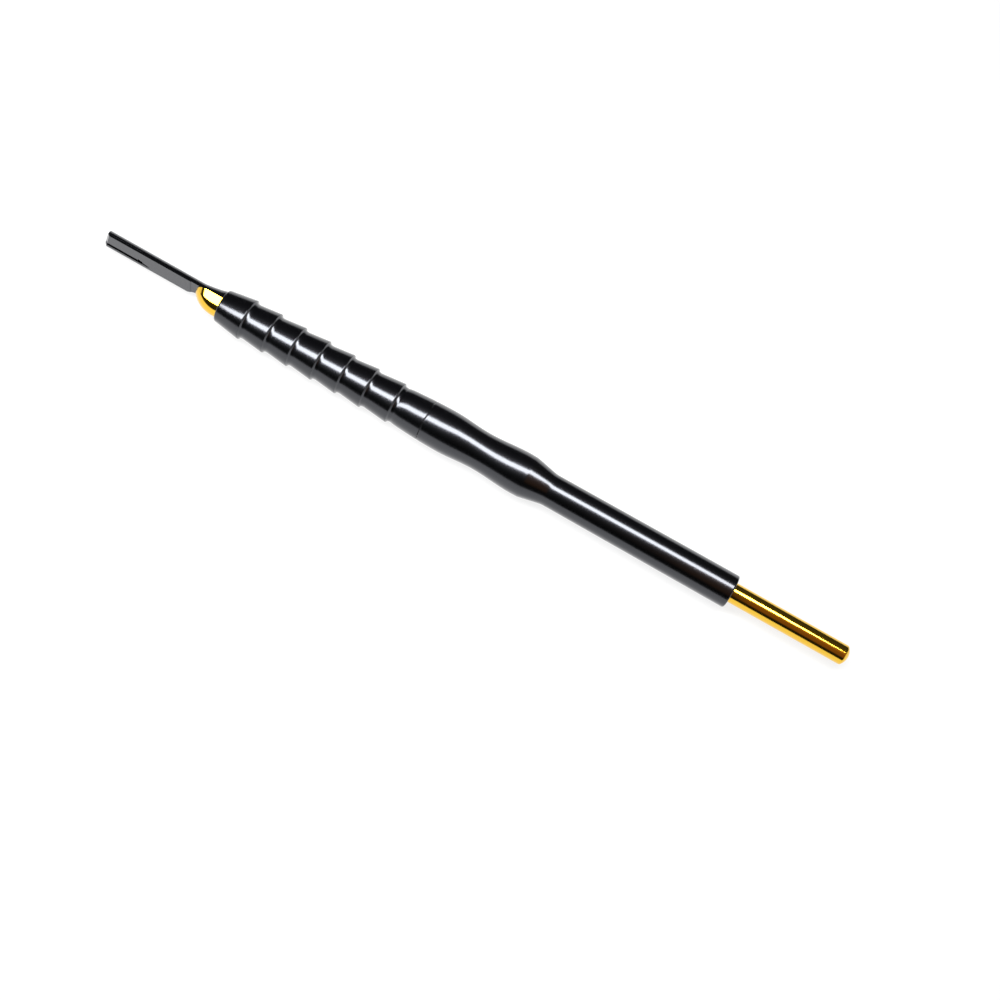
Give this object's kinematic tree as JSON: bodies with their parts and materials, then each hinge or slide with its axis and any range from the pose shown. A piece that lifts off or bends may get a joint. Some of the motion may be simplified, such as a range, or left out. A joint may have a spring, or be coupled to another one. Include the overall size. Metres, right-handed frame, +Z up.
{
  "type": "scalpel handle",
  "caption": "Round scalpel handle: grooved half-round blade tang, barbed turned grip, slim barrel, and a sprung push rod whose half-round nose slides forward to push the blade off.",
  "frame": {"origin": "on the handle's axis, on the blade seat, 14.6 mm behind the tang's tip", "axes": "+X along the axis from the tang to the push button, -Y out of the blade seat, +Z up, across the tang's width"},
  "size_m": [0.1609, 0.0084, 0.0084],
  "materials": {
    "black_coating": "glossy black coating over turned steel",
    "gold_coating": "polished gold colour",
    "plain_steel": "bright stainless steel"
  },
  "bodies": {
    "handle": {"blade_tang": "black_coating", "front_grip": "black_coating", "rear_barrel": "black_coating", "guide_bush": "plain_steel", "return_spring": "plain_steel"},
    "ejector": {"ejector_nose": "gold_coating", "push_rod": "gold_coating"}
  },
  "joints": [
    {"name": "ejector_slide", "type": "slide", "parent": "handle", "child": "ejector", "axis": [-1, 0, 0], "range_m": [0, 0.019], "stiffness_N_per_m": 390, "springref_m": -0.006, "deforming": ["return_spring"]}
  ]
}
